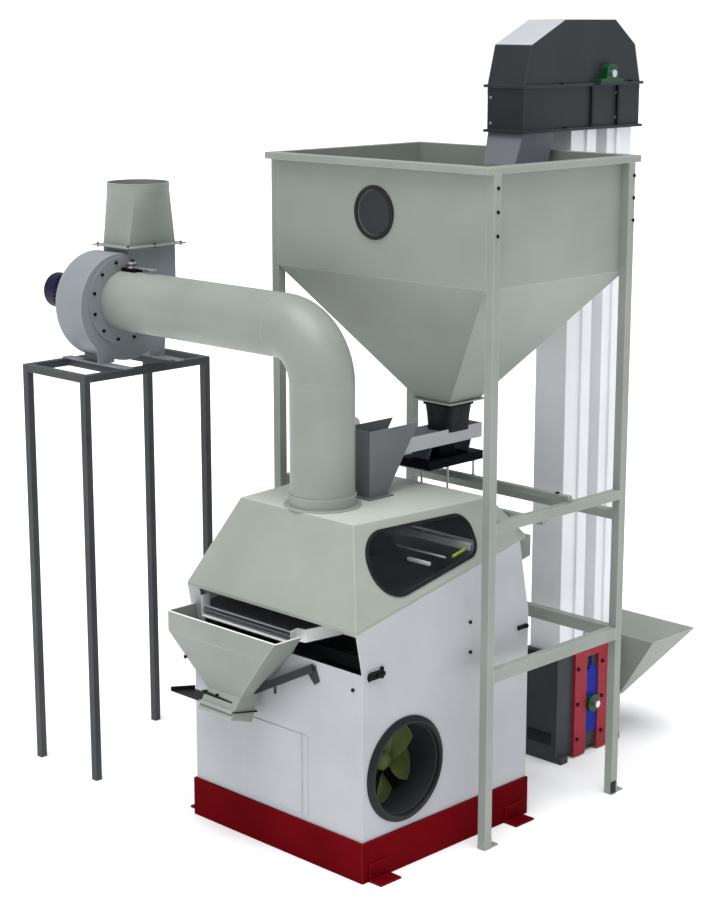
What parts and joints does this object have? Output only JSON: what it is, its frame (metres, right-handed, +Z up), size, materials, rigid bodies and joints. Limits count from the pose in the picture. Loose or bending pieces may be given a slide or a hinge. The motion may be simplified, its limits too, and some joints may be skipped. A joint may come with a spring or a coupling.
{
  "type": "stone separator with feed hopper and bucket elevator",
  "caption": "Gravity stone separator: tilted vibrating deck under a suction hood, with product hopper, suction fan on a stand, feed hopper with feeder, and bucket elevator.",
  "frame": {"origin": "floor level at the middle of the cabinet's base ring", "axes": "+X towards the side with the blower's inlet, +Y towards the rear where the stones leave, +Z up"},
  "size_m": [2.952, 3.119, 4.124],
  "materials": {
    "base_red": "satin dark red paint",
    "cabinet_grey": "satin light grey paint",
    "pebble_grey": "satin pebble grey paint",
    "white_paint": "satin white paint",
    "charcoal_paint": "satin charcoal paint",
    "rail_red": "satin red paint",
    "plate_blue": "satin blue paint",
    "bearing_green": "gloss green paint",
    "feeder_navy": "gloss navy paint",
    "motor_blue": "satin motor blue paint",
    "deck_green": "worn grey green paint",
    "galvanised": "zinc-plated sheet",
    "bright_steel": "bright machined steel",
    "dark_steel": "black oxide steel",
    "black_rubber": "matt black rubber",
    "window_glass": "clear panel",
    "blade_green": "olive green paint"
  },
  "bodies": {
    "frame": {"base_frame": "base_red", "anchor_brackets": "base_red", "cabinet_right_side": "cabinet_grey", "cabinet_left_side": "cabinet_grey", "cabinet_front": "cabinet_grey", "cabinet_rear": "cabinet_grey", "door_hinge_strip": "galvanised", "hood": "pebble_grey", "window_gasket": "black_rubber", "window_panes": "window_glass", "blower_inlet_ring": "charcoal_paint", "blower_shroud": "charcoal_paint", "blower_motor": "motor_blue", "product_hopper": "pebble_grey", "hopper_strut": "charcoal_paint", "deck_beams": "cabinet_grey", "deck_buffers": "black_rubber", "rubber_curtain": "black_rubber", "suction_duct": "pebble_grey", "duct_flanges": "pebble_grey", "damper_bearing": "dark_steel", "fan_scroll": "cabinet_grey", "fan_outlet": "pebble_grey", "fan_motor": "motor_blue", "fan_side_plates": "pebble_grey", "fan_stand": "charcoal_paint", "feed_hopper": "pebble_grey", "sight_glass_ring": "dark_steel", "hopper_frame": "pebble_grey", "rubber_neck": "black_rubber", "feeder_leaf_springs": "dark_steel", "feeder_base": "feeder_navy", "feeder_rods": "galvanised", "inlet_box": "charcoal_paint", "elevator_casings": "pebble_grey", "elevator_cover": "charcoal_paint", "head_bearings": "bearing_green", "elevator_head": "charcoal_paint", "elevator_belt": "black_rubber", "elevator_boot": "charcoal_paint", "takeup_rails": "rail_red", "intake_hopper": "pebble_grey", "bolt_heads": "dark_steel", "clamp_bases": "galvanised"},
    "deck": {"deck_tray": "deck_green", "deck_screen": "bright_steel", "vibration_motors": "motor_blue", "front_rod": "bright_steel"},
    "access_door": {"access_door": "cabinet_grey"},
    "outlet_gate": {"outlet_gate": "dark_steel"},
    "damper": {"damper": "galvanised"},
    "blower_rotor": {"blower_rotor": "blade_green"},
    "suction_impeller": {"suction_impeller": "charcoal_paint"},
    "feeder_trough": {"feeder_trough": "cabinet_grey"},
    "head_pulley": {"head_pulley": "dark_steel"},
    "takeup_carriage": {"takeup_plates": "plate_blue", "boot_bearings": "bearing_green"},
    "boot_pulley": {"boot_pulley": "dark_steel"},
    "clamp_lever_front": {"clamp_lever_front": "dark_steel"},
    "clamp_lever_rear": {"clamp_lever_rear": "dark_steel"}
  },
  "joints": [
    {"name": "deck_shake", "type": "slide", "parent": "frame", "child": "deck", "axis": [0, 0.7071, 0.7071], "range_m": [-0.0025, 0.0025], "stiffness_N_per_m": 900000, "deforming": ["deck_buffers"]},
    {"name": "door_hinge", "type": "hinge", "parent": "frame", "child": "access_door", "pos_m": [0.19, -0.619, 0.452], "axis": [0, 0, 1], "range_deg": [0, 110]},
    {"name": "gate_slide", "type": "slide", "parent": "frame", "child": "outlet_gate", "axis": [-1, 0, 0], "range_m": [0, 0.18]},
    {"name": "damper_turn", "type": "hinge", "parent": "frame", "child": "damper", "pos_m": [-1.475, -0.276, 2.625], "axis": [0, 0, 1], "range_deg": [0, 90]},
    {"name": "blower_spin", "type": "hinge", "parent": "frame", "child": "blower_rotor", "pos_m": [0.411, -0.312, 0.514], "axis": [1, 0, 0], "continuous": true},
    {"name": "suction_spin", "type": "hinge", "parent": "frame", "child": "suction_impeller", "pos_m": [-1.7, -0.276, 2.625], "axis": [1, 0, 0], "continuous": true},
    {"name": "feeder_shake", "type": "slide", "parent": "frame", "child": "feeder_trough", "axis": [0, 1, 0], "range_m": [-0.0015, 0.0015], "stiffness_N_per_m": 20000},
    {"name": "head_spin", "type": "hinge", "parent": "frame", "child": "head_pulley", "pos_m": [0.166, 1.572, 3.844], "axis": [1, 0, 0], "continuous": true},
    {"name": "takeup_slide", "type": "slide", "parent": "frame", "child": "takeup_carriage", "axis": [0, 0, 1], "range_m": [0, 0.06]},
    {"name": "boot_spin", "type": "hinge", "parent": "takeup_carriage", "child": "boot_pulley", "pos_m": [0.166, 1.572, 0.3], "axis": [1, 0, 0], "continuous": true},
    {"name": "front_clamp_turn", "type": "hinge", "parent": "frame", "child": "clamp_lever_front", "pos_m": [0.62, -0.519, 1.05], "axis": [1, 0, 0], "range_deg": [0, 90]},
    {"name": "rear_clamp_turn", "type": "hinge", "parent": "frame", "child": "clamp_lever_rear", "pos_m": [0.62, 0.59, 1.05], "axis": [1, 0, 0], "range_deg": [0, 90]}
  ],
  "couplings": [
    {"joint": "boot_spin", "follows": "head_spin", "ratio": 1}
  ]
}
